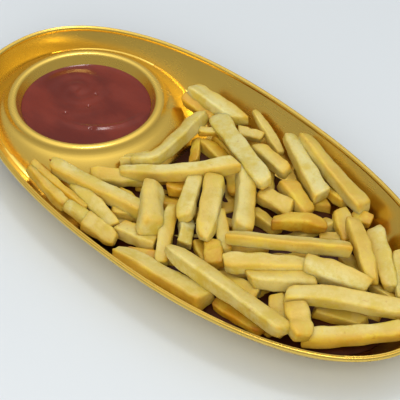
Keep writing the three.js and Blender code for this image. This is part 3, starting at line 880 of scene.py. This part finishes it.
def shaped_fry(points, width, ends, own):
    """The corners of one fry, in millimetres, and the same corners before it was formed and bent."""
    line, forward, length = middle_line(points)
    x, y, z = BLANK_CORNERS.T
    half = BLANK["length"] / 2
    kept = min(END_KEPT, length * SHORT_END)
    from_end = half - np.abs(x)
    stretched = (half - kept - np.abs(x)) * (length / 2 - kept) / (half - kept)
    x = np.sign(x) * np.where(from_end < kept, length / 2 - from_end, length / 2 - kept - stretched)
    y = y * width / BLANK["width"]
    z = z * width / BLANK["width"]
    straight = np.stack([x, y, z], axis=1)

    share = x / length + 0.5
    z = z * own.uniform(*THICKNESS)
    side_full, top_full = own.uniform(*HOLLOW), own.uniform(*HOLLOW)
    wider = 1 + side_full * np.cos(math.pi * z / width)
    higher = 1 + top_full * np.cos(math.pi * y / width)
    y, z = y * wider, z * higher
    half_width = width / 2
    wedge_y, wedge_z = own.uniform(-WEDGE, WEDGE), own.uniform(-WEDGE, WEDGE)
    y, z = y * (1 + wedge_y * z / half_width), z * (1 + wedge_z * y / half_width)
    pared_y, pared_z = own.choice((-1, 1)), own.choice((-1, 1))
    outside = np.clip((pared_y * y + pared_z * z) / half_width - PARED["from"], 0, None)
    pared = outside * own.uniform(0, PARED["most"])
    pared = pared * np.clip(own.uniform(*PARED["up_to"]) - share, 0, 1) * half_width
    y, z = y - pared_y * pared, z - pared_z * pared
    swell = 1 + own.uniform(-TAPER, TAPER) * (2 * share - 1)
    for waves in SWELL["waves"]:
        swell = swell + own.uniform(*SWELL["height"]) * np.sin(2 * math.pi * (share * waves + own.random()))
    for end, away in ((ends[0], share * length), (ends[1], (1 - share) * length)):
        least, over = NARROWED[end]
        over = min(over, length * SHORT_TIP)
        rise = np.sqrt(np.clip(1 - (1 - np.clip(away / over, 0, 1)) ** 2, 0, 1))
        swell = swell * (least + (1 - least) * rise)
    y = y * swell
    z = z * swell
    for end, sign in ((ends[0], -1), (ends[1], 1)):
        weight = np.clip(sign * (2 * share - 1), 0, 1) ** 3
        lean_y = SLANT[end] * own.choice((-1, 1)) * own.uniform(*END_LEAN["sideways"])
        lean_z = SLANT["s"] * own.uniform(-END_LEAN["upwards"], END_LEAN["upwards"])
        x = x + weight * (lean_y * y + lean_z * z)
    share = x / length + 0.5

    twist = math.radians(own.uniform(-TWIST, TWIST)) * (share - 0.5) * 2
    twist = twist + math.radians(own.uniform(-ROLL, ROLL))
    y, z = y * np.cos(twist) - z * np.sin(twist), y * np.sin(twist) + z * np.cos(twist)
    bow = np.sin(math.pi * np.clip(share, 0, 1)) * min(length / BOW["full_at"], BOW["most"])
    y = y + own.uniform(*BOW["sideways"]) * bow
    z = z + own.uniform(*BOW["upwards"]) * bow

    ahead = along_line(forward, np.clip(share, 0, 1))
    sideways = np.stack([-ahead[:, 1], ahead[:, 0], np.zeros(len(ahead))], axis=1)
    sideways = sideways / np.linalg.norm(sideways, axis=1)[:, None]
    upwards = np.cross(ahead, sideways)
    beyond = (share - np.clip(share, 0, 1)) * length
    bent = along_line(line, np.clip(share, 0, 1)) + ahead * beyond[:, None]
    bent = bent + sideways * y[:, None] + upwards * z[:, None]
    seed = Vector((own.uniform(0, 100), own.uniform(0, 100), own.uniform(0, 100)))
    for to_the_mm, height in UNEVEN:
        lumps = np.array([noise.noise_vector(Vector(point) * to_the_mm + seed) for point in straight])
        bent = bent + lumps * height
    metal = dish_height(bent[:, 0], bent[:, 1]) + CLEARANCE
    bent[:, 2] = np.maximum(bent[:, 2], metal)
    return bent, straight


def written(mesh, name, values):
    """Keeps three numbers for each corner of a mesh, for its finish to read."""
    layer = mesh.attributes.new(name, "FLOAT_VECTOR", "POINT")
    layer.data.foreach_set("vector", values.astype(float).ravel())


LONG_CORNER = 0.62  # from this share of width times depth on, a place counts as fully on a long corner
TIP_LENGTH = 5.0
DARKER_SIDE = 0.45
GRAIN_STEP = (97.0, 31.0, 0.0)  # how far one fry's grain lies from the next one's, in millimetres

out_y, out_z = (np.abs(BLANK_CORNERS[:, 1:]) / (BLANK["width"] / 2, BLANK["depth"] / 2)).T
corner_near = np.clip(out_y * out_z / LONG_CORNER, 0, 1) ** 3
heap = []
for number, (points, width, tone, ends) in enumerate(LAID + tucked):
    own = random.Random(SEED + number)
    bent, straight = shaped_fry(points, width, ends, own)
    fry = bpy.data.objects.new("fry", blank.data.copy())
    bpy.context.collection.objects.link(fry)
    press(fry, bent)
    length = np.ptp(straight[:, 0])
    tip_near = np.clip(1 - (length / 2 - np.abs(straight[:, 0])) / TIP_LENGTH, 0, 1)
    written(fry.data, "grain", (straight + np.array(GRAIN_STEP) * number) * MM)
    facing = own.uniform(0, 2 * math.pi)
    side = BLANK_CORNERS[:, 1] * math.cos(facing) + BLANK_CORNERS[:, 2] * math.sin(facing)
    darker = tone + DARKER_SIDE * np.clip(side / BLANK["width"] * 2, 0, 1) ** 2
    written(fry.data, "fried", np.stack([darker, corner_near, tip_near], axis=1))
    heap.append(fry)
bpy.data.objects.remove(blank)
fries = joined(heap, "fries")
finish_smooth(fries, 60)
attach(fries, "root")
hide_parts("fries")
print("fries:", triangles(fries), "triangles")

# %% [markdown]
# A fry is pale yellow where the potato shows, deeper gold along its corners and at its ends, where it fries
# first, and each is fried a little differently. Its faces are blotched, paler and yellower by turns.
# Under its thin skin it lets light through, so shaded sides glow yellow instead of turning grey.
# Fine fibres run along it, with small blisters and a few darker freckles.

# %% Fried potato
potato = Finish(
    "fried_potato",
    Subsurface_Weight=0.5,
    Subsurface_Radius=(1.0, 0.78, 0.3),
    Subsurface_Scale=0.004,
    Specular_IOR_Level=0.8,
)
grain = potato.attribute("grain")
speckle = potato.noise(grain, 380, 4, 0.7)
tone, corner, tip = potato.parts(potato.attribute("fried"))
patches = potato.noise(grain, 90, 3)
fibres = potato.noise(potato.stretched(grain, (60, 900, 900)), 1.0, 3, 0.6)
blisters = potato.noise(grain, 1100, 3, 0.6)
freckles = potato.between(potato.noise(grain, 420, 2, 0.4), 0.7, 0.78)
blotches = potato.between(patches * 0.6 + speckle * 0.4, 0.38, 0.64)
pale = potato.mix(blotches, rgb(204, 184, 86), rgb(215, 211, 162))
golden = potato.mix(blotches, rgb(205, 158, 35), rgb(214, 189, 76))
deep = rgb(166, 106, 36)
cooked = potato.between(tone + (patches - 0.5) * 1.3 + (speckle - 0.5) * 1.1, 0.0, 1.1)
body = potato.mix(cooked, pale, golden)
crisp = corner * 0.35 + tip * 0.5 + (patches - 0.5) * 0.9 + tone * 0.35
crisp = potato.between(crisp, 0.45, 1.25)
body = potato.mix(crisp * 0.75, body, golden)
brown = tip * 0.6 + corner * 0.2 + tone * 0.5 + (patches - 0.5) * 1.1
brown = potato.between(brown, 0.9, 1.6)
body = potato.mix(brown * 0.8, body, deep)
body = potato.mix(freckles * 0.3, body, deep)
skin = potato.between(patches * 0.6 + blisters * 0.4, 0.3, 0.7, 0.42, 0.6)
relief = potato.bump(fibres * 0.5 + blisters * 0.6 + patches * 0.6 + speckle, 0.6, 0.00035)
potato.gives(Base_Color=body, Roughness=skin, Normal=relief)
potato.on(fries)

# %% [markdown]
# ### The heap's core
#
# The lowest fries lie too close together to see singly, only as a dark mass deep in the gaps. A low dome
# with
# soft ribs stands for them, kept under the fries and off the metal. Its dark brown colour is painted shade:
# the fries down there are pale potato, dark only because little light reaches them.

# %% Make the core
bpy.ops.object.select_all(action="DESELECT")
bpy.ops.mesh.primitive_uv_sphere_add(segments=96, ring_count=48, radius=1)
core = added("fries_core")
points = corners(core)
flatness = CORE["flatness"]
out = np.minimum(np.hypot(points[:, 0], points[:, 1]), 1)
rise = np.sign(points[:, 2]) * (1 - out**flatness) ** (1 / flatness)
x = CORE["centre"][0] + CORE["half_length"] * points[:, 0]
y = CORE["centre"][1] + CORE["half_width"] * points[:, 1]
along, across = CORE["ribs"]
ribs = np.array([noise.noise(Vector((px * along, py * across, 0))) for px, py in zip(x, y)])
z = CORE["centre"][2] + (CORE["height"] + ribs) * rise
from_well = np.hypot(x - WELL_X, y)
push = np.maximum(SKIRT_TOE[0] / from_well, 1)
x, y = WELL_X + (x - WELL_X) * push, y * push
press(core, np.stack([x, y, np.maximum(z, dish_height(x, y) + CLEARANCE)], axis=1))
finish_smooth(core, 60)
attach(core, "root")
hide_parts("fries")

# The core's colour is painted shade: a dark brown for pale fries that lie deep in shadow.
core_shade_paint = Finish("core_painted_shade", Roughness=0.6)
place = core_shade_paint.place()
shade = core_shade_paint.noise(core_shade_paint.stretched(place, (120, 420, 120)), 1.0, 3)
core_shade_paint.gives(
    Base_Color=core_shade_paint.mix(shade, rgb(46, 14, 6), rgb(84, 38, 12)),
    Normal=core_shade_paint.bump(shade, 0.6, 0.0006),
)
core_shade_paint.on(core)

# %% [markdown]
# ## Crumbs
#
# Frying breaks small crisp crumbs off the corners. A few lie on the wall of the dish beside the heap.

# %% Scatter the crumbs
CRUMBS = [  # x, y and size
    (-46, 50.5, 1.5),
    (-44, 51.5, 0.9),
    (-41, 50, 1.2),
    (-24, 52, 0.8),
    (-62, -38, 0.8),
    (66, 46.5, 1.0),
]
CRUMB_SHAPE = (0.7, 0.5, 0.4)  # its half sizes, over its size
CRUMB_SUNK = 0.3  # how high its middle lies, over its size
CRUMB_BULGES = {"waves": 1.7, "height": 0.5}
own = random.Random(SEED)
bits = []
for x, y, size in CRUMBS:
    bpy.ops.mesh.primitive_ico_sphere_add(subdivisions=3, radius=1)
    bit = added("crumb")
    points = corners(bit)
    seed = Vector((own.uniform(0, 100), 0, 0))
    bulge = np.array([noise.noise(Vector(point) * CRUMB_BULGES["waves"] + seed) for point in points])
    points = points * (1 + CRUMB_BULGES["height"] * bulge[:, None]) * np.array(CRUMB_SHAPE) * size
    ground = dish_height(np.array([float(x)]), np.array([float(y)]))[0]
    press(bit, points + (x, y, ground + size * CRUMB_SUNK))
    bits.append(bit)
crumbs = joined(bits, "crumbs")
finish_smooth(crumbs, 60)
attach(crumbs, "root")

crisp_crumb = Finish("crumb", Roughness=0.6)
place = crisp_crumb.place()
crisp_crumb.gives(
    Base_Color=crisp_crumb.mix(crisp_crumb.noise(place, 900, 3), rgb(150, 92, 30), rgb(208, 156, 66)),
    Normal=crisp_crumb.bump(crisp_crumb.noise(place, 2500, 2), 0.6, 0.0002),
)
crisp_crumb.on(crumbs)

# %% [markdown]
# ## Floor, light and camera
#
# The dish stands on a plain white surface. Polished metal shows what is around it more than what shines on
# it, so the light is a whole soft room: brightest overhead, dimmer towards the horizon.
# A small key light near the top gives the sauce its glints. A large fill light in front, a little warm,
# lights the sides of the food. Reflections leave the fill out, because in the metal it would be a bright
# square of its own.

# %% Floor
bpy.ops.mesh.primitive_plane_add(size=4)
floor = added("floor")
floor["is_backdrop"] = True
plain = Finish("floor", Roughness=0.55)
place = plain.place()
plain.gives(Base_Color=plain.mix(plain.noise(place, 3, 2), rgb(208, 215, 222), rgb(214, 221, 228)))
plain.on(floor)

# %% Light
SKY_STRENGTH = 0.85
SKY_TOWARDS = Vector((-0.15, 0.15, 1.0)).normalized()  # the bright part of the room
SKY = [(0.3, 0.42), (0.76, 0.62), (0.97, 1.18)]  # the cosine of the angle from there, and the brightness
SKY_TINT = (1.0, 0.99, 0.97)
KEY = {"at": (-0.2, 0.2, 1.6), "size": 0.3, "power": 2.6}
FILL = {"at": (1.0, -1.0, 1.0), "size": 1.6, "power": 19.5}
FILL_COLOUR = (1.0, 0.95, 0.86)

world = bpy.data.worlds.new("room")
world.use_nodes = True
tree = world.node_tree
background = next(n for n in tree.nodes if n.type == "BACKGROUND")
background.inputs["Strength"].default_value = SKY_STRENGTH
direction = tree.nodes.new("ShaderNodeTexCoord")
facing = tree.nodes.new("ShaderNodeVectorMath")
facing.operation = "DOT_PRODUCT"
facing.inputs[1].default_value = SKY_TOWARDS
ramp = tree.nodes.new("ShaderNodeValToRGB")
tree.links.new(direction.outputs["Generated"], facing.inputs[0])
tree.links.new(facing.outputs["Value"], ramp.inputs["Fac"])
tree.links.new(ramp.outputs["Color"], background.inputs["Color"])
ramp.color_ramp.elements.new(0.5)
for stop, (position, bright) in zip(ramp.color_ramp.elements, SKY):
    stop.position = position
    stop.color = (*(bright * tint for tint in SKY_TINT), 1)
bpy.context.scene.world = world


def soft_box(name, at, size, power):
    """A square soft light that faces the dish."""
    light = bpy.data.lights.new(name, "AREA")
    light.shape = "SQUARE"
    light.size = size
    light.energy = power
    lamp = bpy.data.objects.new(name, light)
    bpy.context.collection.objects.link(lamp)
    lamp.location = at
    lamp.rotation_euler = (-Vector(at)).to_track_quat("-Z", "Y").to_euler()
    return lamp


soft_box("key", **KEY)
fill = soft_box("fill", **FILL)
fill.data.color = FILL_COLOUR
fill.visible_glossy = False
bpy.context.scene.view_settings.view_transform = "Standard"
bpy.context.scene.view_settings.look = "Medium High Contrast"

# %% Camera
AIM = Vector((0.7, -1.8, 10.0)) * MM
DISTANCE = 908.3 * MM
AZIMUTH = math.radians(46.74)
ELEVATION = math.radians(42.4)
TILT = math.radians(1.07)
SENSOR = 36
FOCAL_LENGTH = 180

level = Vector((math.cos(AZIMUTH), math.sin(AZIMUTH), 0))
back = Vector((
    math.cos(ELEVATION) * math.sin(AZIMUTH),
    -math.cos(ELEVATION) * math.cos(AZIMUTH),
    math.sin(ELEVATION),
))
upright = back.cross(level)
right = level * math.cos(TILT) + upright * math.sin(TILT)
up = back.cross(right)
lens = bpy.data.cameras.new("camera")
lens.sensor_width = SENSOR
lens.lens = FOCAL_LENGTH
camera = bpy.data.objects.new("camera", lens)
bpy.context.collection.objects.link(camera)
turn = Matrix((right, up, back)).transposed().to_4x4()
camera.matrix_world = Matrix.Translation(AIM + back * DISTANCE) @ turn
bpy.context.scene.camera = camera

# %% Keep the sizes and finish
sizes = {
    "cad": [list(corner) for corner in cad_box],
    "visual": [list(corner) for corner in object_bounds()],
}
for name, box in sizes.items():
    print(name, "mm", [[round(v / MM, 1) for v in corner] for corner in box])
